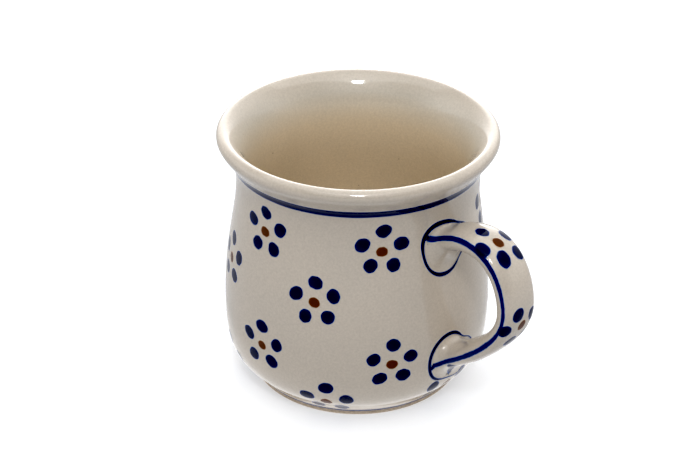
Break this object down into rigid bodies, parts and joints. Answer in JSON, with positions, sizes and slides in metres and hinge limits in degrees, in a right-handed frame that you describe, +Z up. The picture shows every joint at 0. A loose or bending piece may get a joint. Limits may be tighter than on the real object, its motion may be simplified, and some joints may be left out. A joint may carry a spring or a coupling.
{
  "type": "mug",
  "caption": "Waisted stoneware drinking mug with a flared rim, a pulled strap handle and hand-painted blue and brown dot flowers.",
  "frame": {"origin": "centre of the foot ring's underside, on the surface that the mug stands on", "axes": "+Z up along the cup's axis, +X from the axis towards the handle, +Y completing a right-handed frame"},
  "size_m": [0.1155, 0.09, 0.087],
  "materials": {
    "glaze": "opaque glossy grey-cream stoneware glaze with fine specks",
    "cobalt": "glossy cobalt blue underglaze paint",
    "iron_brown": "glossy iron brown underglaze paint",
    "bare_clay": "matte unglazed fired clay"
  },
  "bodies": {
    "root": {"body": "glaze", "foot_ring": "bare_clay", "handle": "glaze", "upper_slip_joint": "glaze", "lower_slip_joint": "glaze", "neck_band": "cobalt", "foot_line": "cobalt", "body_petals": "cobalt", "body_flower_centres": "iron_brown", "handle_petals": "cobalt", "handle_flower_centres": "iron_brown", "handle_edge_stripes": "cobalt", "upper_joint_ring": "cobalt", "lower_joint_ring": "cobalt"}
  },
  "joints": []
}
